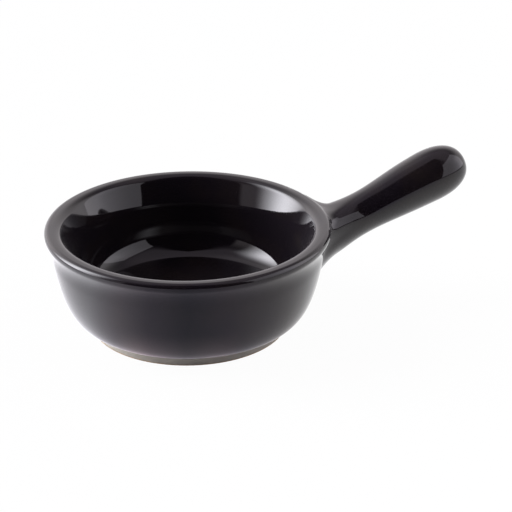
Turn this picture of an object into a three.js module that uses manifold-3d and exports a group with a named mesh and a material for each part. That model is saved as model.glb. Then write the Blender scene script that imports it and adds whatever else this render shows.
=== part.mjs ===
// A one-handled mini casserole dish in black glazed ceramic.
// Millimetres, +Z up, handle along +X. The origin is on the bowl's axis, in the plane that the foot stands on.
import * as THREE from "three";
import { mergeVertices } from "three/addons/utils/BufferGeometryUtils.js";
import Module from "manifold-3d";

const wasm = await Module();
wasm.setup();

const degrees = THREE.MathUtils.degToRad;
const upright = degrees(90);

// Bowl, measured over the glaze
const rimRadius = 50; // widest circle of the lip
const bowlHeight = 37.5; // table to the top of the lip
const lipOverhang = 2.7; // lip beyond the neck of the wall
const neckDrop = 11.6; // top of the lip down to the neck
const neckLean = degrees(9.5); // wall from upright, at the neck
const neckReach = 13.8; // length over which the wall holds that lean
const shoulderRise = degrees(8); // belly from level, where it leaves the foot
const shoulderReach = 6.7; // length over which the belly holds that rise
const flareLean = degrees(29.5); // wall from upright, where it runs into the lip
const flareReach = 3.2; // length over which the flare bends, at each end

// Foot ring
const footRadius = 35.2; // where the glaze ends, just above the bare foot
const footHeight = 3.5; // straight step under the belly
const footWidth = 4.2; // ring that rests on the table, glaze included
const footRecess = 1.8; // hollow inside the ring
const footChamfer = 0.4;
const bareEdge = 3.1; // height of the foot's face that is left without glaze

// Lip
const seamDrop = 3; // top of the lip down to the seam between the outside and inside coats
const seamInset = 0.34; // seam behind the widest circle
const lipEdgeHeight = 1.7; // top of the lip down to the widest circle
const lipEdgeWidth = 1.9; // rounding of the outer edge
const lipWidth = 3.8; // widest circle to the inner edge of the flat
const lipInnerRound = 1.8; // rounding of the inner edge, across
const lipInnerDepth = 3; // and down
const lipInnerTurn = 0.9; // sharpness of that rounding, measured across

// Well, the inside of the bowl
const wellLean = degrees(24); // wall from upright, just under the lip
const wellReach = 13; // length over which the wall holds that lean
const cornerTuck = 0.4; // corner of the well inside the top of its wall
const floorRadius = 23; // flat part of the floor
const floorThickness = 6.6;

// Handle, measured over the glaze
const handleDrop = 10.7; // its axis below the top of the lip, at the rim's circle
const handleRise = degrees(22);
const handleLength = 58.5; // along its axis, from the rim's circle to the tip
const gripRadius = 9.4; // thickest part, near the tip
const gripSetback = 14.5; // thickest part behind the tip
const gripBluntness = 2.4; // 2 would make the tip an ellipse
const gripBlend = 10; // swelling behind the thickest part
const waistRadius = 7.6; // thinnest part
const waistReach = 16; // thinnest part beyond the rim's circle
const waistBlend = 12; // swelling beyond the waist
const flareRadius = 12; // root inside the wall
const flareDepth = 13; // root behind the rim's circle
const flareRadiusBlend = 8.6; // radius that the flare heads for
const flareBlend = 3.5; // length over which it heads there
const rootBlend = 10; // narrowing before the waist
const rootSpread = 4.2; // root wider than high by this much, each side

// Coats and joints
const glazeThickness = 0.45;
const glazeGap = 0.12; // between a coat and what lies next to it
const slipThickness = 2.2; // saddle between the bowl and the handle
const jointGap = 0.3; // between pieces of clay that are cut to each other
const coat = glazeThickness + glazeGap;

// Facets
const aroundBowl = 44;
const aroundHandle = 24;
const bellySteps = 7;
const flareSteps = 3;
const edgeSteps = 3;
const wellSteps = 9;
const rootSteps = 6;
const gripSteps = 4;
const tipSteps = 7;

// Heights and radii that several pieces share
const seamHeight = bowlHeight - seamDrop;
const floorHeight = footRecess + floorThickness;
const recessRadius = footRadius - footWidth;
const wellTop = new THREE.Vector2(
  rimRadius - lipWidth - lipInnerRound,
  bowlHeight - lipInnerDepth,
);

// A point at a distance from another, in a direction measured from level.
function away(from, distance, angle) {
  return new THREE.Vector2(
    from.x + distance * Math.cos(angle),
    from.y + distance * Math.sin(angle),
  );
}

// Points moved to the left of the walk along them, with those on the axis kept on it.
function moveLeft(points, distance) {
  return points.map((point, i) => {
    const before = points[Math.max(i - 1, 0)];
    const after = points[Math.min(i + 1, points.length - 1)];
    const along = new THREE.Vector2().subVectors(after, before).normalize();
    if (point.x === 0) along.set(Math.sign(along.x), 0);
    return new THREE.Vector2(
      point.x - along.y * distance,
      point.y + along.x * distance,
    );
  });
}

// The glazed outside of the bowl, from the bare face of the foot up to the seam under the lip.
function outsidePoints() {
  const foot = new THREE.Vector2(footRadius, footHeight);
  const neck = new THREE.Vector2(
    rimRadius - lipOverhang,
    bowlHeight - neckDrop,
  );
  const seam = new THREE.Vector2(rimRadius - seamInset, seamHeight - glazeGap);
  const belly = new THREE.CubicBezierCurve(
    foot,
    away(foot, shoulderReach, shoulderRise),
    away(neck, -neckReach, upright - neckLean),
    neck,
  );
  const flare = new THREE.CubicBezierCurve(
    neck,
    away(neck, flareReach, upright - neckLean),
    away(seam, -flareReach, upright - flareLean),
    seam,
  );
  return [
    new THREE.Vector2(footRadius, bareEdge),
    ...belly.getPoints(bellySteps),
    ...flare.getPoints(flareSteps).slice(1),
  ];
}

// The lip, from the seam under it, over its top, to the top of the well.
function lipPoints() {
  const edge = new THREE.EllipseCurve(
    rimRadius - lipEdgeWidth,
    bowlHeight - lipEdgeHeight,
    lipEdgeWidth,
    lipEdgeHeight,
    0,
    Math.PI / 2,
  );
  const flatEnd = new THREE.Vector2(rimRadius - lipWidth, bowlHeight);
  const corner = new THREE.Vector2(flatEnd.x - lipInnerTurn, bowlHeight);
  const inner = new THREE.QuadraticBezierCurve(flatEnd, corner, wellTop);
  return [
    new THREE.Vector2(rimRadius - seamInset, seamHeight),
    ...edge.getPoints(edgeSteps),
    ...inner.getPoints(edgeSteps),
  ];
}

// The inside of the bowl, from under the lip to the middle of the floor.
function wellPoints() {
  const floorEdge = new THREE.Vector2(floorRadius, floorHeight);
  const well = new THREE.CubicBezierCurve(
    wellTop,
    away(wellTop, -wellReach, upright - wellLean),
    new THREE.Vector2(wellTop.x - cornerTuck, floorHeight),
    floorEdge,
  );
  return [
    ...well.getPoints(wellSteps).slice(1),
    new THREE.Vector2(0, floorHeight),
  ];
}

// A closed outline turned round the bowl's axis.
function turned(points) {
  return new THREE.LatheGeometry(points, aroundBowl).rotateX(Math.PI / 2);
}

// Two lines of points, the second walked back, as one closed ring.
function ring(points, back) {
  return turned([...points, ...[...back].reverse(), points[0]]);
}

// The space that the bowl fills, grown by a distance and carried up past the handle.
function bowlSpace(growth) {
  const side = moveLeft(outsidePoints(), -growth);
  const top = bowlHeight + handleLength;
  return turned([
    new THREE.Vector2(0, -footHeight),
    new THREE.Vector2(footRadius + growth, -footHeight),
    ...side,
    new THREE.Vector2(rimRadius + growth, seamHeight),
    new THREE.Vector2(rimRadius + growth, top),
    new THREE.Vector2(0, top),
  ]);
}

// The space round the lip, from the seam up.
function lipSpace() {
  const top = bowlHeight + handleLength;
  const bottom = seamHeight - jointGap;
  return turned([
    new THREE.Vector2(0, bottom),
    new THREE.Vector2(rimRadius + jointGap, bottom),
    new THREE.Vector2(rimRadius + jointGap, top),
    new THREE.Vector2(0, top),
  ]);
}

// The handle's radius along its axis: flared root, waist, grip and blunt tip.
function handlePoints() {
  const root = new THREE.CubicBezierCurve(
    new THREE.Vector2(flareRadius, -flareDepth),
    new THREE.Vector2(flareRadiusBlend, flareBlend - flareDepth),
    new THREE.Vector2(waistRadius, waistReach - rootBlend),
    new THREE.Vector2(waistRadius, waistReach),
  );
  const thickest = handleLength - gripSetback;
  const grip = new THREE.CubicBezierCurve(
    new THREE.Vector2(waistRadius, waistReach),
    new THREE.Vector2(waistRadius, waistReach + waistBlend),
    new THREE.Vector2(gripRadius, thickest - gripBlend),
    new THREE.Vector2(gripRadius, thickest),
  );
  const tip = [];
  for (let i = 1; i < tipSteps; i++) {
    const turn = (i / tipSteps) * (Math.PI / 2);
    tip.push(
      new THREE.Vector2(
        gripRadius * Math.cos(turn) ** (2 / gripBluntness),
        thickest + gripSetback * Math.sin(turn) ** (2 / gripBluntness),
      ),
    );
  }
  return [
    ...root.getPoints(rootSteps),
    ...grip.getPoints(gripSteps).slice(1),
    ...tip,
    new THREE.Vector2(0, handleLength),
  ];
}

// The handle's whole form, shrunk by a distance, wider at its root and set on its rising axis.
function handleForm(shrink) {
  const points = moveLeft(handlePoints(), shrink);
  const start = -flareDepth - shrink;
  const form = new THREE.LatheGeometry(
    [
      new THREE.Vector2(0, start),
      new THREE.Vector2(points[0].x, start),
      ...points.slice(1),
    ],
    aroundHandle,
  );
  const place = form.getAttribute("position");
  for (let i = 0; i < place.count; i++) {
    const toWaist = (waistReach - place.getY(i)) / (waistReach + flareDepth);
    const widen = 1 + (rootSpread / flareRadius) * Math.max(toWaist, 0) ** 2;
    place.setZ(i, place.getZ(i) * widen);
  }
  const along = new THREE.Vector3(Math.cos(handleRise), 0, Math.sin(handleRise));
  const above = new THREE.Vector3(-Math.sin(handleRise), 0, Math.cos(handleRise));
  const across = new THREE.Vector3(0, 1, 0);
  const seat = new THREE.Matrix4()
    .makeBasis(above, along, across)
    .setPosition(rimRadius, 0, bowlHeight - handleDrop);
  return form.applyMatrix4(seat);
}

// A closed geometry as a solid that can be joined and cut.
function solid(geometry) {
  const bare = geometry.clone();
  bare.deleteAttribute("normal");
  bare.deleteAttribute("uv");
  const merged = mergeVertices(bare, 1e-4);
  return new wasm.Manifold(
    new wasm.Mesh({
      numProp: 3,
      vertProperties: new Float32Array(merged.getAttribute("position").array),
      triVerts: new Uint32Array(merged.index.array),
    }),
  );
}

// A solid as a named mesh in its material.
function piece(name, shape, material) {
  const made = shape.getMesh();
  const geometry = new THREE.BufferGeometry();
  geometry.setAttribute(
    "position",
    new THREE.BufferAttribute(made.vertProperties, 3),
  );
  geometry.setIndex(new THREE.BufferAttribute(made.triVerts, 1));
  geometry.computeVertexNormals();
  const mesh = new THREE.Mesh(geometry, material);
  mesh.name = name;
  return mesh;
}

const blackGlaze = new THREE.MeshStandardMaterial({
  color: 0x0d0b0d,
  roughness: 0.08,
  metalness: 0,
});
const firedClay = new THREE.MeshStandardMaterial({
  color: 0xb4946a,
  roughness: 0.85,
  metalness: 0,
});
const firedSlip = new THREE.MeshStandardMaterial({
  color: 0xa5865f,
  roughness: 0.9,
  metalness: 0,
});

// Fired clay bowl, bare only at the foot
function bowlClay() {
  const side = moveLeft(outsidePoints(), coat);
  const over = moveLeft([...lipPoints().slice(1), ...wellPoints()], coat);
  return solid(
    turned([
      new THREE.Vector2(0, footRecess + coat),
      new THREE.Vector2(recessRadius, footRecess + coat),
      new THREE.Vector2(recessRadius, 0),
      new THREE.Vector2(footRadius - coat - footChamfer, 0),
      new THREE.Vector2(footRadius - coat, footChamfer),
      ...side,
      ...over,
    ]),
  );
}

// Coat poured inside, over the lip to the seam
function insideGlaze() {
  const over = [...lipPoints(), ...wellPoints()];
  const under = moveLeft(over, glazeThickness);
  return solid(turned([...under.reverse(), ...over]));
}

// Coat outside, open where the handle stands
function outsideGlaze() {
  const side = outsidePoints();
  const coated = solid(ring(side, moveLeft(side, glazeThickness)));
  return coated.subtract(solid(handleForm(-glazeGap)));
}

// Coat in the hollow of the foot
function undersideGlaze() {
  const edge = recessRadius - glazeGap;
  return solid(
    turned([
      new THREE.Vector2(0, footRecess),
      new THREE.Vector2(edge, footRecess),
      new THREE.Vector2(edge, footRecess + glazeThickness),
      new THREE.Vector2(0, footRecess + glazeThickness),
    ]),
  );
}

// Solid clay handle, cut to the saddle of slip
function handleClay() {
  const reach = 2 * jointGap + slipThickness - coat;
  return solid(handleForm(coat)).subtract(solid(bowlSpace(reach)));
}

// Saddle of slip between the bowl and the handle
function handleSlip() {
  const inner = solid(bowlSpace(jointGap - coat));
  const outer = solid(bowlSpace(jointGap + slipThickness - coat));
  return solid(handleForm(coat))
    .intersect(outer)
    .subtract(inner)
    .subtract(solid(lipSpace()));
}

// Coat on the handle and its flared root
function handleGlaze() {
  return solid(handleForm(0))
    .subtract(solid(handleForm(glazeThickness)))
    .subtract(solid(bowlSpace(glazeGap)));
}

const dish = new THREE.Group();
dish.add(piece("bowl_clay", bowlClay(), firedClay));
dish.add(piece("handle_clay", handleClay(), firedClay));
dish.add(piece("handle_slip", handleSlip(), firedSlip));
dish.add(piece("inside_glaze", insideGlaze(), blackGlaze));
dish.add(piece("outside_glaze", outsideGlaze(), blackGlaze));
dish.add(piece("handle_glaze", handleGlaze(), blackGlaze));
dish.add(piece("underside_glaze", undersideGlaze(), blackGlaze));

export default dish;
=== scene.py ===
import math

import bmesh
import bpy
import numpy as np
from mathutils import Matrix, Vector


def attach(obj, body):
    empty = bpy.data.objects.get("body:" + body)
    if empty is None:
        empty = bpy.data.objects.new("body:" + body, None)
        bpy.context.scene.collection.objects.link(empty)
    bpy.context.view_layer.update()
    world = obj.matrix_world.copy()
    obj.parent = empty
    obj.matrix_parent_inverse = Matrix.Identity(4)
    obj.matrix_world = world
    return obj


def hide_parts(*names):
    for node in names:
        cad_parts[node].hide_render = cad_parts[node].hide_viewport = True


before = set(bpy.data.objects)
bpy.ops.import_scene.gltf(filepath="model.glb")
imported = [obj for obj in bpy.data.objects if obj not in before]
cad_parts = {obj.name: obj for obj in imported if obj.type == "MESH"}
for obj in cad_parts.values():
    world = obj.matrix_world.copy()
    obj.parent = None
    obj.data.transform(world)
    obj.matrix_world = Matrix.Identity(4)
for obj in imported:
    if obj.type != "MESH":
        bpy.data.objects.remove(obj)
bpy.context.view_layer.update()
mm = 0.001
scene = bpy.context.scene
print("frame loaded:", sorted(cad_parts))


# small helpers

meshing = {
    "mergeWithin": 0.002 * mm,
    "sharpFrom": 50,  # degrees between two faces
    "keyDigits": 7,  # decimals of a vertex's place, in metres
}


def leaveEditMode():
    if bpy.context.mode != "OBJECT":
        bpy.ops.object.mode_set(mode="OBJECT")


def startFresh():
    leaveEditMode()
    bpy.ops.object.select_all(action="DESELECT")


def bezier(p0, p1, p2, p3, steps):
    t = np.linspace(0, 1, steps + 1)[:, None]
    p0, p1, p2, p3 = (np.array(p, float) for p in (p0, p1, p2, p3))
    return (1 - t) ** 3 * p0 + 3 * (1 - t) ** 2 * t * p1 + 3 * (1 - t) * t * t * p2 + t ** 3 * p3


def lean(angle):  # a direction in the profile, leaning outwards from upright
    a = math.radians(angle)
    return np.array([math.sin(a), math.cos(a)])


def smooth(a, b, x):
    t = min(max((x - a) / (b - a), 0.0), 1.0)
    return t * t * (3 - 2 * t)


def offsetLeft(points, distance):  # moves a profile to the left of the walk along it
    points = np.array(points, float)
    along = np.gradient(points, axis=0)
    along /= np.linalg.norm(along, axis=1)[:, None]
    moved = points + distance * np.stack([-along[:, 1], along[:, 0]], 1)
    moved[np.isclose(points[:, 0], 0), 0] = 0
    return moved


def drawProfile(name, points):  # a plane merged to one vertex, which is then extruded from point to point
    startFresh()
    bpy.ops.mesh.primitive_plane_add(size=mm, location=(0, 0, 0))
    piece = bpy.context.active_object
    piece.name = piece.data.name = name
    bpy.ops.object.mode_set(mode="EDIT")
    bpy.ops.mesh.select_all(action="SELECT")
    bpy.ops.mesh.merge(type="CENTER")
    bpy.ops.transform.translate(value=(points[0][0] * mm, 0, points[0][1] * mm))
    for a, b in zip(points[:-1], points[1:]):
        step = ((b[0] - a[0]) * mm, 0, (b[1] - a[1]) * mm)
        bpy.ops.mesh.extrude_vertices_move(TRANSFORM_OT_translate={"value": step})
    return piece


def mergeAndTurnOut():
    bpy.ops.mesh.select_all(action="SELECT")
    bpy.ops.mesh.remove_doubles(threshold=meshing["mergeWithin"])
    bpy.ops.mesh.normals_make_consistent(inside=False)


def spinProfile(steps):
    bpy.ops.mesh.select_all(action="SELECT")
    bpy.ops.mesh.spin(steps=steps, angle=2 * math.pi, center=(0, 0, 0), axis=(0, 0, 1))
    mergeAndTurnOut()


def finishPiece(piece, material, slot, *nodes):
    leaveEditMode()
    bpy.ops.object.shade_smooth_by_angle(angle=math.radians(meshing["sharpFrom"]))
    piece.data.materials.clear()
    piece.data.materials.append(material)
    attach(piece, "root")
    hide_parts(*nodes)
    print(piece.name, len(piece.data.polygons), "faces")


# camera, at the photograph's view

viewFrom = {
    "turn": -19.0,  # degrees round the dish, from the side that faces -Y
    "rise": 24.75,
    "distance": 650 * mm,
    "aim": (22.385 * mm, -7.708 * mm, 25.125 * mm),
    "lens": 130.14,
    "sensor": 36,
    "clip": 10 * mm,
}


def levelDirection(turn):  # by the viewer's turn: 0 is towards the camera, 90 to its right
    a = math.radians(viewFrom["turn"] + turn)
    return Vector((math.sin(a), -math.cos(a), 0))


def placeCamera():
    rise = math.radians(viewFrom["rise"])
    back = levelDirection(0) * math.cos(rise) + Vector((0, 0, math.sin(rise)))
    data = bpy.data.cameras.new("camera")
    data.lens = viewFrom["lens"]
    data.sensor_width = viewFrom["sensor"]
    data.clip_start = viewFrom["clip"]
    camera = bpy.data.objects.new("camera", data)
    scene.collection.objects.link(camera)
    camera.location = Vector(viewFrom["aim"]) + back * viewFrom["distance"]
    camera.rotation_euler = (-back).to_track_quat("-Z", "Y").to_euler()
    scene.camera = camera


placeCamera()
print("camera placed")


# shader nodes: an input takes another node's socket or a plain value

def fill(node, inputs):
    for key, value in inputs.items():
        if isinstance(value, bpy.types.NodeSocket):
            node.id_data.links.new(value, node.inputs[key])
        else:
            node.inputs[key].default_value = value


def nodeAdder(tree):
    def add(kind, inputs=None, **settings):
        node = tree.nodes.new(kind)
        for key, value in settings.items():
            setattr(node, key, value)
        fill(node, inputs or {})
        return node

    return add


def numberMath(add, operation, *values):
    return add("ShaderNodeMath", dict(enumerate(values)), operation=operation).outputs["Value"]


def vectorMath(add, operation, *values, gives="Vector"):
    return add("ShaderNodeVectorMath", dict(enumerate(values)), operation=operation).outputs[gives]


def remap(add, value, before, after=(0, 1), how="LINEAR"):
    ends = {"From Min": before[0], "From Max": before[1], "To Min": after[0], "To Max": after[1]}
    return add("ShaderNodeMapRange", {"Value": value, **ends}, interpolation_type=how).outputs["Result"]


def fade(add, value, off, on):  # 0 at off, 1 at on
    return remap(add, value, (off, on), how="SMOOTHSTEP")


def blend(add, share, a, b):
    return add("ShaderNodeMix", {"Factor": share, "A": a, "B": b}, data_type="RGBA").outputs["Result"]


def ramp(add, value, stops):
    node = add("ShaderNodeValToRGB", {"Fac": value})
    elements = node.color_ramp.elements
    while len(elements) < len(stops):
        elements.new(0.5)
    for element, (position, colour) in zip(elements, stops):
        element.position = position
        element.color = colour
    return node.outputs["Color"]


def newMaterial(name):
    material = bpy.data.materials.new(name)
    material.use_nodes = True
    return material, nodeAdder(material.node_tree), material.node_tree.nodes["Principled BSDF"]


# materials

def makeMottle():  # slow cloudy change over the surface, used by the glaze and by the clay
    group = bpy.data.node_groups.new("firedMottle", "ShaderNodeTree")
    for name in ("Scale", "Fine"):
        group.interface.new_socket(name, in_out="INPUT", socket_type="NodeSocketFloat")
    for name in ("Cloud", "Grain"):
        group.interface.new_socket(name, in_out="OUTPUT", socket_type="NodeSocketFloat")
    add = nodeAdder(group)
    scales = add("NodeGroupInput").outputs
    place = add("ShaderNodeTexCoord").outputs["Object"]
    cloud = add("ShaderNodeTexNoise", {"Vector": place, "Scale": scales["Scale"], "Detail": 3})
    grain = add("ShaderNodeTexNoise", {"Vector": place, "Scale": scales["Fine"], "Detail": 2})
    add("NodeGroupOutput", {"Cloud": cloud.outputs["Fac"], "Grain": grain.outputs["Fac"]})
    return group


mottle = makeMottle()


def addMottle(add, look):
    scales = {"Scale": look["cloudScale"], "Fine": look["grainScale"]}
    patch = add("ShaderNodeGroup", scales, node_tree=mottle).outputs
    return patch["Cloud"], patch["Grain"]


glazeLook = {
    "tint": [(0.42, (0.0082, 0.0062, 0.0086, 1)), (0.7, (0.0120, 0.0088, 0.0090, 1))],  # by the cloud
    "cloudScale": 70.0,  # per metre
    "grainScale": 420.0,
    "cloudEnds": (0.3, 0.7),
    "rough": (0.03, 0.06),  # at those ends
    "waviness": 0.01,
    "waveDepth": 0.4 * mm,
    "ior": 1.5,
    "haze": 0.09,
    "hazeRough": 0.35,
}


def makeGlaze(name, look):
    material, add, shader = newMaterial(name)
    cloud, grain = addMottle(add, look)
    bump = add("ShaderNodeBump", {
        "Strength": look["waviness"],
        "Distance": look["waveDepth"],
        "Height": grain,
    })
    fill(shader, {
        "Base Color": ramp(add, cloud, look["tint"]),
        "Roughness": remap(add, cloud, look["cloudEnds"], look["rough"]),
        "Normal": bump.outputs["Normal"],
        "IOR": look["ior"],
        "Sheen Weight": look["haze"],
        "Sheen Roughness": look["hazeRough"],
    })
    return material


clayLook = {
    "tint": [(0.5, (0.33, 0.19, 0.085, 1)), (0.9, (0.52, 0.36, 0.19, 1))],  # by the cloud and the grain
    "cloudScale": 160.0,
    "grainScale": 2600.0,
    "grainShare": 0.45,
    "rough": (0.6, 0.85),
    "grit": 0.25,
    "gritDepth": 0.1 * mm,
    "wash": (0.47, 0.445, 0.385, 1),  # thin film of glaze left on the outer face of the foot
    "washRadius": 34.2 * mm,
    "washHeight": 0.45 * mm,
    "washFade": 0.2 * mm,
}
slipLook = dict(
    clayLook,
    tint=[(0.5, (0.27, 0.15, 0.07, 1)), (0.9, (0.42, 0.28, 0.14, 1))],
    cloudScale=240.0,
)


def washShare(add, look):
    place = add("ShaderNodeTexCoord").outputs["Object"]
    radius = vectorMath(add, "LENGTH", vectorMath(add, "MULTIPLY", place, (1, 1, 0)), gives="Value")
    height = add("ShaderNodeSeparateXYZ", {"Vector": place}).outputs["Z"]
    outer = fade(add, radius, look["washRadius"] - look["washFade"], look["washRadius"] + look["washFade"])
    upper = fade(add, height, look["washHeight"] - look["washFade"], look["washHeight"] + look["washFade"])
    return numberMath(add, "MULTIPLY", outer, upper)


def makeClay(name, look):
    material, add, shader = newMaterial(name)
    cloud, grain = addMottle(add, look)
    tint = ramp(add, numberMath(add, "MULTIPLY_ADD", grain, look["grainShare"], cloud), look["tint"])
    bump = add("ShaderNodeBump", {
        "Strength": look["grit"],
        "Distance": look["gritDepth"],
        "Height": grain,
    })
    fill(shader, {
        "Base Color": blend(add, washShare(add, look), tint, look["wash"]),
        "Roughness": remap(add, grain, (0, 1), look["rough"]),
        "Normal": bump.outputs["Normal"],
    })
    return material


blackGlaze = makeGlaze("blackGlaze", glazeLook)
firedClay = makeClay("firedClay", clayLook)
firedSlip = makeClay("firedSlip", slipLook)
print("materials made")


# the bowl's outside over the glaze, in millimetres: radius and height

bowlShape = {
    "around": 128,
    "glaze": 0.45,
    "glazeEdge": [(34.95, 3.08), (35.0, 3.3), (35.2, 3.47)],  # where the coat ends, above the bare foot
    "foot": (35.55, 3.55),
    "shoulderRise": 8.0,
    "shoulderReach": 6.6,
    "neck": (47.26, 25.9),
    "neckLean": 9.5,
    "neckReach": 13.84,
    "flare": (49.55, 34.3),
    "flareLean": 30.5,
    "flareReach": (2.6, 4.2),  # from the neck, and from the flare's top
    "turnReach": 0.6,  # from the flare to upright
    "widest": (50.0, 35.84),
    "topOuter": (48.1, 37.52),
    "seam": (47.0, 37.5),  # on top of the lip, where the outside coat runs into the inside coat
    "steps": {"belly": 30, "flare": 9, "turn": 6, "edge": 12},
}


def wallProfile():
    shape = bowlShape
    steps = shape["steps"]
    foot, neck, flareTop = (np.array(shape[k]) for k in ("foot", "neck", "flare"))
    widest, top = (np.array(shape[k]) for k in ("widest", "topOuter"))
    rise = math.radians(shape["shoulderRise"])
    belly = bezier(
        foot,
        foot + shape["shoulderReach"] * np.array([math.cos(rise), math.sin(rise)]),
        neck - shape["neckReach"] * lean(shape["neckLean"]),
        neck,
        steps["belly"],
    )
    flare = bezier(
        neck,
        neck + shape["flareReach"][0] * lean(shape["neckLean"]),
        flareTop - shape["flareReach"][1] * lean(shape["flareLean"]),
        flareTop,
        steps["flare"],
    )
    upright = bezier(
        flareTop,
        flareTop + shape["turnReach"] * lean(shape["flareLean"]),
        widest - shape["turnReach"] * lean(0),
        widest,
        steps["turn"],
    )
    turns = np.linspace(0, math.pi / 2, steps["edge"] + 1)[1:-1]
    edge = top + (widest - top) * np.stack([np.cos(turns), 1 - np.sin(turns)], 1)
    return np.vstack([shape["glazeEdge"], belly, flare[1:], upright[1:], edge, top])


wall = wallProfile()
wallLength = np.concatenate([[0], np.cumsum(np.linalg.norm(np.diff(wall, axis=0), axis=1))])


def lengthAt(height):
    return np.interp(height, wall[:, 1], wallLength)


def onWall(turn, length):  # the point at an angle round the bowl and a length up its profile
    r = np.interp(length, wallLength, wall[:, 0])
    z = np.interp(length, wallLength, wall[:, 1])
    return np.array([r * math.cos(turn), r * math.sin(turn), z])


# the handle, over the glaze, in millimetres along its axis from the seat

handleShape = {
    "seat": (50.0, 0.0, 26.8),
    "rise": 21.9,
    "radii": [
        (-16, 9.0), (-10, 8.85), (-4, 8.6), (4, 8.15), (10, 7.6),
        (18, 7.48), (27, 8.15), (36, 8.95), (44, 9.38),
    ],
    "lift": [  # of the axis off its line
        (-16, 0), (4, -0.05), (10, -0.1), (18, -0.15),
        (28, 0.0), (38, 0.16), (47, 0.1), (60, -0.1),
    ],
    "domeFrom": 44.0,
    "domeLength": 14.5,
    "domePower": 2.4,
    "widen": 0.36,  # how much broader it is at its root
    "shoulders": (0.4, 0.06),  # how much squarer its upper half is there, in front and behind
    "widenFrom": 21.0,
    "widenOver": 23.0,
    "widenMost": 1.2,
    "widenPower": 1.5,
    "cornerTop": (5.0, 1.7, 0.5),  # fillet's length on the handle, on the wall, and how tightly it turns
    "cornerBack": (6.0, 7.5, 0.5),  # at the top, on the side away from the camera
    "cornerSide": (12.0, 5.0, 0.45),
    "cornerBelow": (7.5, 4.5, 0.62),
    "backFrom": (10, 45),  # degrees from the top over which one fillet takes over from another
    "sideFrom": (50, 105),
    "belowFrom": (100, 165),
    "lipKept": 0.2,  # length of the lip's rounded edge left above the fillet
    "cutHalf": 9.01,  # columns of the wall cut away on each side, and a little over
    "cutFrom": 6.5,  # heights
    "cutTo": 37.515,
    "cutInner": 47.86,  # radius on top of the lip inside which nothing is cut
    "meetsBetween": (-16.0, 24.0),  # where it comes out of the wall, found by halving
    "halvings": 50,
    "flatRadius": 48.0,  # at which turns and lengths on the wall are compared
    "nudge": 0.1,  # step that gives a tangent
    "wallShares": (0.25, 0.5, 0.75, 0.92),  # rings from the loop to the fillet
    "straight": 18.0,  # from here on the rings stand square to the axis
    "steps": {"fillet": 12, "root": 8, "grip": 18, "dome": 15},
}


def cubicThrough(pairs):  # a natural cubic spline through the pairs
    x, y = (np.array(v, float) for v in zip(*pairs))
    n = len(x)
    h = np.diff(x)
    a = np.zeros((n, n))
    b = np.zeros(n)
    a[0, 0] = a[-1, -1] = 1
    for i in range(1, n - 1):
        a[i, i - 1: i + 2] = h[i - 1], 2 * (h[i - 1] + h[i]), h[i]
        b[i] = 6 * ((y[i + 1] - y[i]) / h[i] - (y[i] - y[i - 1]) / h[i - 1])
    m = np.linalg.solve(a, b)

    def value(at):
        i = int(np.clip(np.searchsorted(x, at) - 1, 0, n - 2))
        p, q = x[i + 1] - at, at - x[i]
        bent = (m[i] * p ** 3 + m[i + 1] * q ** 3) / (6 * h[i])
        return bent + (y[i] / h[i] - m[i] * h[i] / 6) * p + (y[i + 1] / h[i] - m[i + 1] * h[i] / 6) * q

    return value


handleRadius = cubicThrough(handleShape["radii"])
handleLift = cubicThrough(handleShape["lift"])
handleRise = math.radians(handleShape["rise"])
handleAlong = np.array([math.cos(handleRise), 0, math.sin(handleRise)])
handleAbove = np.array([-handleAlong[2], 0, handleAlong[0]])
handleAcross = np.array([0.0, 1.0, 0.0])


def onHandle(s, turn):  # turn 0 is the handle's top, and a turn behind is positive
    shape = handleShape
    r = handleRadius(min(s, shape["domeFrom"]))
    if s > shape["domeFrom"]:
        u = min((s - shape["domeFrom"]) / shape["domeLength"], 1.0)
        r *= max(1 - u ** shape["domePower"], 0.0) ** (1 / shape["domePower"])
    rootward = min(max((shape["widenFrom"] - s) / shape["widenOver"], 0.0), shape["widenMost"])
    rootward **= shape["widenPower"]
    if math.cos(turn) > 0:
        r *= 1 + shape["shoulders"][turn > 0] * rootward * math.sin(2 * turn) ** 2
    wide = 1 + shape["widen"] * rootward
    ring = math.cos(turn) * handleAbove + wide * math.sin(turn) * handleAcross
    return np.array(shape["seat"]) + s * handleAlong + handleLift(s) * handleAbove + r * ring


def meetsWall(turn):  # where a line along the handle comes out of the wall
    low, high = handleShape["meetsBetween"]
    for _ in range(handleShape["halvings"]):
        s = (low + high) / 2
        p = onHandle(s, turn)
        if math.hypot(p[0], p[1]) > np.interp(p[2], wall[:, 1], wall[:, 0]):
            high = s
        else:
            low = s
    return high


def takesOver(name, turn):
    start, end = handleShape[name]
    return smooth(math.radians(start), math.radians(end), turn)


def cornerLengths(turn):
    top, back, side, below = (np.array(handleShape["corner" + k]) for k in ("Top", "Back", "Side", "Below"))
    lengths = top + (back - top) * takesOver("backFrom", turn)
    lengths = lengths + (side - lengths) * takesOver("sideFrom", abs(turn))
    return lengths + (below - lengths) * takesOver("belowFrom", abs(turn))


def placeKey(place):
    return tuple(round(x, meshing["keyDigits"]) for x in place)


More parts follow.
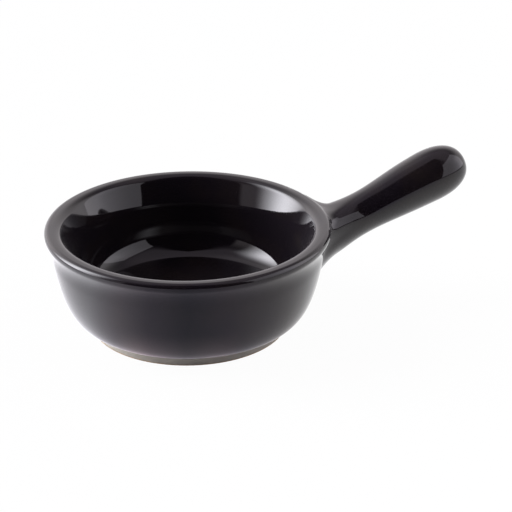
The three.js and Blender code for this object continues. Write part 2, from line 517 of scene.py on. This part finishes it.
def cutOpening(piece):  # takes away the wall that the handle grows from, and selects the loop left round it
    bpy.ops.mesh.select_mode(type="FACE")
    bpy.ops.mesh.select_all(action="DESELECT")
    mesh = bmesh.from_edit_mesh(piece.data)
    halfTurn = handleShape["cutHalf"] * 2 * math.pi / bowlShape["around"]
    loop = {}  # in order, each vertex once
    for face in mesh.faces:
        c = face.calc_center_median()
        between = handleShape["cutFrom"] * mm < c.z < handleShape["cutTo"] * mm
        onTop = c.z > bowlShape["widest"][1] * mm and c.xy.length < handleShape["cutInner"] * mm
        if between and not onTop and abs(math.atan2(c.y, c.x)) < halfTurn:
            face.select_set(True)
    for edge in mesh.edges:
        if len({face.select for face in edge.link_faces}) == 2:
            loop.update({placeKey(v.co): True for v in edge.verts})
    bmesh.update_edit_mesh(piece.data)
    bpy.ops.mesh.delete(type="FACE")
    bpy.ops.mesh.select_mode(type="EDGE")
    bpy.ops.mesh.select_all(action="DESELECT")
    mesh = bmesh.from_edit_mesh(piece.data)
    for edge in mesh.edges:
        if edge.is_boundary and all(placeKey(v.co) in loop for v in edge.verts):
            edge.select_set(True)
    bmesh.update_edit_mesh(piece.data)
    return list(loop)


def flatten(place):  # a place on the wall, as lengths round the bowl and up its profile
    return np.array([math.atan2(place[1], place[0]) * handleShape["flatRadius"], lengthAt(place[2])])


def unflatten(flat):
    return onWall(flat[0] / handleShape["flatRadius"], flat[1])


def direction(v):
    return v / np.linalg.norm(v)


def handleLine(key, centreLength):  # from the loop along the wall, round the fillet and out to the tip
    shape = handleShape
    steps = shape["steps"]
    start = flatten(np.array(key) / mm)
    turn = math.atan2(start[0], start[1] - centreLength)
    s = meetsWall(turn)
    meet = onHandle(s, turn)
    out = direction(flatten(meet) - np.array([0, centreLength]))
    onGrip, onBowl, rounding = cornerLengths(turn)
    root = flatten(meet) + out * onBowl
    root[1] = min(root[1], lengthAt(shape["cutTo"]) - shape["lipKept"])
    points = [unflatten((1 - f) * start + f * root) for f in shape["wallShares"]]

    gripFrom = s + onGrip
    p0 = unflatten(root)
    p3 = onHandle(gripFrom, turn)
    inwards = direction(unflatten(root - out * shape["nudge"]) - p0)
    outwards = direction(p3 - onHandle(gripFrom - shape["nudge"], turn))
    p1 = p0 + inwards * rounding * np.linalg.norm(meet - p0)
    p2 = p3 - outwards * rounding * np.linalg.norm(meet - p3)
    points += list(bezier(p0, p1, p2, p3, steps["fillet"]))

    dome = np.sin(np.linspace(0, math.pi / 2, steps["dome"] + 1)) ** (2 / shape["domePower"])
    along = (
        np.linspace(gripFrom, shape["straight"], steps["root"] + 1),
        np.linspace(shape["straight"], shape["domeFrom"], steps["grip"] + 1),
        shape["domeFrom"] + shape["domeLength"] * dome,
    )
    for stretch in along:
        points += [onHandle(at, turn) for at in stretch[1:]]
    return points


def growHandle(piece, loop):  # pulls the loop out ring by ring and closes it at the tip
    middle = 0.5 * (meetsWall(0) + meetsWall(math.pi))
    centre = np.array(handleShape["seat"]) + middle * handleAlong
    lines = {key: handleLine(key, lengthAt(centre[2])) for key in loop}
    lineAt = {key: key for key in loop}
    for ring in range(len(lines[loop[0]])):
        bpy.ops.mesh.extrude_edges_move(TRANSFORM_OT_translate={"value": (0, 0, 0)})
        mesh = bmesh.from_edit_mesh(piece.data)
        moved = {}
        for v in mesh.verts:
            if v.select:
                line = lineAt[placeKey(v.co)]
                v.co = Vector(lines[line][ring]) * mm
                moved[placeKey(v.co)] = line
        lineAt = moved
        bmesh.update_edit_mesh(piece.data)
    bpy.ops.mesh.merge(type="CENTER")
    bpy.ops.mesh.select_mode(type="VERT")
    mergeAndTurnOut()


def makeOutside():
    piece = drawProfile("outsideGlaze", np.vstack([wall, bowlShape["seam"]]))
    spinProfile(bowlShape["around"])
    growHandle(piece, cutOpening(piece))
    leaveEditMode()
    shell = piece.modifiers.new("coat", "SOLIDIFY")
    shell.thickness = bowlShape["glaze"] * mm
    shell.offset = -1
    bpy.ops.object.modifier_apply(modifier=shell.name)
    finishPiece(piece, blackGlaze, "black_glaze", "outside_glaze", "handle_glaze")


makeOutside()


# lip and inside

insideShape = {
    "lipTurn": (45.0, 37.4),
    "lipReach": 1.0,
    "flare": (43.9, 35.6),
    "flareLean": 25.0,
    "flareReach": 4.6,
    "neck": (40.75, 27.3),
    "neckLean": 5.0,
    "neckReach": 1.3,
    "bellyReach": 12.5,
    "corner": 39.0,  # radius that the belly's curve is drawn towards at the floor
    "floor": (23.0, 8.4),
    "steps": {"lip": 16, "flare": 14, "belly": 30, "floor": 13},
}


def insideProfile():
    shape = insideShape
    steps = shape["steps"]
    flareTop, neck, floor = (np.array(shape[k]) for k in ("flare", "neck", "floor"))
    lip = bezier(
        bowlShape["seam"],
        shape["lipTurn"],
        flareTop + shape["lipReach"] * lean(shape["flareLean"]),
        flareTop,
        steps["lip"],
    )
    flare = bezier(
        flareTop,
        flareTop - shape["flareReach"] * lean(shape["flareLean"]),
        neck + shape["neckReach"] * lean(shape["neckLean"]),
        neck,
        steps["flare"],
    )
    belly = bezier(
        neck,
        neck - shape["bellyReach"] * lean(shape["neckLean"]),
        (shape["corner"], floor[1]),
        floor,
        steps["belly"],
    )
    flat = np.linspace(floor, (0, floor[1]), steps["floor"] + 1)
    return np.vstack([lip, flare[1:], belly[1:], flat[1:]])


inside = insideProfile()


def makeInside():
    hidden = offsetLeft(inside, bowlShape["glaze"])
    hidden[-1] = (0, inside[-1][1] - bowlShape["glaze"])
    piece = drawProfile("insideGlaze", np.vstack([hidden[::-1], inside]))
    spinProfile(bowlShape["around"])
    finishPiece(piece, blackGlaze, "black_glaze", "inside_glaze")


makeInside()


# clay under the glaze, bare at the foot ring

clayShape = {
    "around": 96,
    "coat": 0.57,  # from the glaze's face down to the clay
    "footInner": 31.0,
    "footBottom": 34.8,
    "footTop": (35.05, 3.2),
    "recess": 1.8,
    "chamfer": 0.35,
    "chamferMiddle": 0.1,
    "innerChamfer": 0.3,
    "outsideTo": 34.84,  # height at which the clay turns in to the lip
    "lip": [(48.4, 36.3), (46.6, 36.8)],
    "wellFrom": 10,  # points of the inside that the lip's own take the place of
}


def makeClayBowl():
    shape = clayShape
    outside = offsetLeft(wall[wall[:, 1] < shape["outsideTo"]], shape["coat"])
    well = offsetLeft(inside, shape["coat"])
    ceiling = shape["recess"] + shape["coat"]
    under = [
        (0, ceiling),
        (shape["footInner"], ceiling),
        (shape["footInner"], shape["innerChamfer"]),
        (shape["footInner"] + shape["innerChamfer"], 0),
        (shape["footBottom"] - shape["chamfer"], 0),
        (shape["footBottom"] - shape["chamferMiddle"], shape["chamferMiddle"]),
        (shape["footBottom"], shape["chamfer"]),
        shape["footTop"],
    ]
    fromFoot = outside[len(bowlShape["glazeEdge"]):]
    piece = drawProfile("clayBowl", np.vstack([under, fromFoot, shape["lip"], well[shape["wellFrom"]:]]))
    spinProfile(shape["around"])
    finishPiece(piece, firedClay, "fired_clay", "bowl_clay")


makeClayBowl()


# glaze in the hollow inside the foot ring

undersideShape = {
    "around": 96,
    "gap": 0.1,
    "edge": [(0.9, 0), (0.35, 0.08), (0.08, 0.3), (0, 0.2)],  # its rolled edge, inwards and down
}


def makeUnderside():
    shape = undersideShape
    radius = clayShape["footInner"] - shape["gap"]
    low, high = clayShape["recess"], clayShape["recess"] + bowlShape["glaze"]
    edge = [(radius - inwards, low - down) for inwards, down in shape["edge"]]
    piece = drawProfile("undersideGlaze", [(0, low), (radius / 2, low), *edge, (radius, high), (0, high)])
    spinProfile(shape["around"])
    finishPiece(piece, blackGlaze, "black_glaze", "underside_glaze")


makeUnderside()

for node, material in (("handle_clay", firedClay), ("handle_slip", firedSlip)):
    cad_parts[node].data.materials.clear()
    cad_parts[node].data.materials.append(material)


# floor: white to the camera; in reflections it shows painted light, darker on the camera's side as painted
# shade where the dish shades it

floorLook = {
    "size": 6.0,
    "paint": (0.9, 0.9, 0.9, 1),
    "shadowShare": 0.03,  # how much of the floor's look comes from the light on it
    "glow": [  # painted light seen in reflections, by the viewer's turn, with painted shade on the camera's side
        (-180, (1.0, 1.0, 1.0)),
        (-120, (1.45, 1.43, 1.5)),
        (-65, (1.75, 1.74, 1.85)),
        (-42, (1.2, 1.12, 1.24)),
        (-22, (0.64, 0.6, 0.71)),
        (0, (0.355, 0.37, 0.44)),
        (25, (0.52, 0.49, 0.57)),
        (65, (0.84, 0.82, 0.82)),
        (105, (1.2, 1.2, 1.2)),
        (180, (1.0, 1.0, 1.0)),
    ],
    "near": {  # painted pool of light: brighter close to the foot, round one turn
        "paintedPool": (0.9, 0.72, 0.62),
        "from": 58 * mm,
        "to": 43 * mm,
        "turn": -5,
        "outer": 40,
        "inner": 17,
    },
}
white = (1, 1, 1, 1)


def paintedFloorLight(add):
    place = add("ShaderNodeTexCoord").outputs["Object"]
    across = vectorMath(add, "DOT_PRODUCT", place, levelDirection(90), gives="Value")
    towards = vectorMath(add, "DOT_PRODUCT", place, levelDirection(0), gives="Value")
    turn = numberMath(add, "ARCTAN2", across, towards)
    # the floor's glow in reflections is painted: painted shade from the dish on the camera's side, lighter
    # towards the sides
    stops = [((at + 180) / 360, (*glow, 1)) for at, glow in floorLook["glow"]]
    level = ramp(add, remap(add, turn, (-math.pi, math.pi)), stops)

    # a painted pool of light on the floor near the foot, seen only in reflections
    near = floorLook["near"]
    away = vectorMath(add, "LENGTH", place, gives="Value")
    aside = numberMath(add, "ABSOLUTE", numberMath(add, "SUBTRACT", turn, math.radians(near["turn"])))
    close = fade(add, away, near["from"], near["to"])
    ahead = fade(add, aside, math.radians(near["outer"]), math.radians(near["inner"]))
    share = numberMath(add, "MULTIPLY", close, ahead)
    paintedPool = vectorMath(add, "MULTIPLY_ADD", share, near["paintedPool"], (1, 1, 1))
    return vectorMath(add, "MULTIPLY", level, paintedPool)


def makeFloor():
    startFresh()
    bpy.ops.mesh.primitive_plane_add(size=floorLook["size"], location=(0, 0, 0))
    floor = bpy.context.active_object
    floor.name = floor.data.name = "floor"
    material, add, shader = newMaterial("whiteFloor")
    fill(shader, {"Base Color": floorLook["paint"], "Roughness": 1.0, "Specular IOR Level": 0.0})
    ray = add("ShaderNodeLightPath").outputs
    glowing = add("ShaderNodeEmission", {"Color": blend(add, ray["Is Camera Ray"], paintedFloorLight(add), white)})
    seen = numberMath(add, "MAXIMUM", ray["Is Camera Ray"], ray["Is Glossy Ray"])
    mix = add("ShaderNodeMixShader", {
        "Fac": numberMath(add, "MULTIPLY", seen, 1 - floorLook["shadowShare"]),
        1: shader.outputs["BSDF"],
        2: glowing.outputs["Emission"],
    })
    fill(material.node_tree.nodes["Material Output"], {"Surface": mix.outputs["Shader"]})
    floor.data.materials.append(material)


makeFloor()


# studio round the dish, in degrees: turns are the viewer's, and edge and foot are heights

screens = {
    "backdrop": dict(turn=180, half=80, soft=18, edge=40, fade=14, glow=(1.06, 1.0, 1.03)),
    "ceiling": dict(turn=180, half=130, soft=15, edge=50, fade=14, glow=(0.42, 0.37, 0.43), above=True),
    "leftBox": dict(turn=-97, half=16, soft=17, edge=47, fade=18, foot=2.5, glow=(12.5, 12.4, 13.2)),
    "leftScreen": dict(turn=-64, half=14, soft=3, edge=36, fade=16, foot=2.5, glow=(0.55, 0.5, 0.53)),
    "leftBack": dict(turn=-135, half=12, soft=32, edge=56, fade=22, glow=(1.3, 1.25, 1.28)),
    "rightBox": dict(turn=94, half=10, soft=35, edge=44, fade=12, foot=2.5, glow=(1.5, 1.45, 1.58)),
    "front": dict(turn=0, half=50, soft=12, edge=70, fade=18, glow=(0.012, 0.01, 0.013)),
}
screenFoot = {"usual": -2, "fade": 1.5}


def fadeDegrees(add, value, middle, width):  # on below the middle, or above it where the width is negative
    return fade(add, value, math.radians(middle + width), math.radians(middle - width))


def screenGlow(add, screen, level, height):
    facing = vectorMath(add, "DOT_PRODUCT", level, levelDirection(screen["turn"]), gives="Value")
    wide = fadeDegrees(add, numberMath(add, "ARCCOSINE", facing), screen["half"], screen["soft"])
    edgeFade = -screen["fade"] if screen.get("above") else screen["fade"]
    edge = fadeDegrees(add, height, screen["edge"], edgeFade)
    foot = fadeDegrees(add, height, screen.get("foot", screenFoot["usual"]), -screenFoot["fade"])
    share = numberMath(add, "MULTIPLY", numberMath(add, "MULTIPLY", wide, edge), foot)
    glow = {0: screen["glow"], "Scale": share}
    return add("ShaderNodeVectorMath", glow, operation="SCALE").outputs["Vector"]


def makeWorld():
    world = bpy.data.worlds.new("studio")
    scene.world = world
    world.use_nodes = True
    add = nodeAdder(world.node_tree)
    place = add("ShaderNodeTexCoord").outputs["Generated"]
    level = vectorMath(add, "NORMALIZE", vectorMath(add, "MULTIPLY", place, (1, 1, 0)))
    height = numberMath(add, "ARCSINE", add("ShaderNodeSeparateXYZ", {"Vector": place}).outputs["Z"])
    total = (0, 0, 0)
    for screen in screens.values():
        total = vectorMath(add, "ADD", total, screenGlow(add, screen, level, height))
    seen = add("ShaderNodeLightPath").outputs["Is Camera Ray"]
    fill(world.node_tree.nodes["Background"], {"Color": blend(add, seen, total, white)})


makeWorld()

sidePanel = {
    "turn": 90,
    "away": 326 * mm,
    "near": 277 * mm,  # its edges along the camera's direction
    "far": -150 * mm,
    "low": 54 * mm,
    "high": 470 * mm,
    "glow": (1.0, 0.96, 1.05),
}


def makePanel(name, panel):
    wide, tall = panel["near"] - panel["far"], panel["high"] - panel["low"]
    data = bpy.data.lights.new(name, "AREA")
    data.shape = "RECTANGLE"
    data.size = wide
    data.size_y = tall
    data.color = panel["glow"]
    data.energy = math.pi * wide * tall  # a radiance of 1 times the colour
    lamp = bpy.data.objects.new(name, data)
    scene.collection.objects.link(lamp)
    outwards = levelDirection(panel["turn"])
    lamp.location = outwards * panel["away"] + levelDirection(0) * (panel["near"] + panel["far"]) / 2
    lamp.location.z = (panel["low"] + panel["high"]) / 2
    lamp.rotation_euler = (-outwards).to_track_quat("-Z", "Y").to_euler()


makePanel("sidePanel", sidePanel)
scene.view_settings.view_transform = "Standard"
print("studio made")
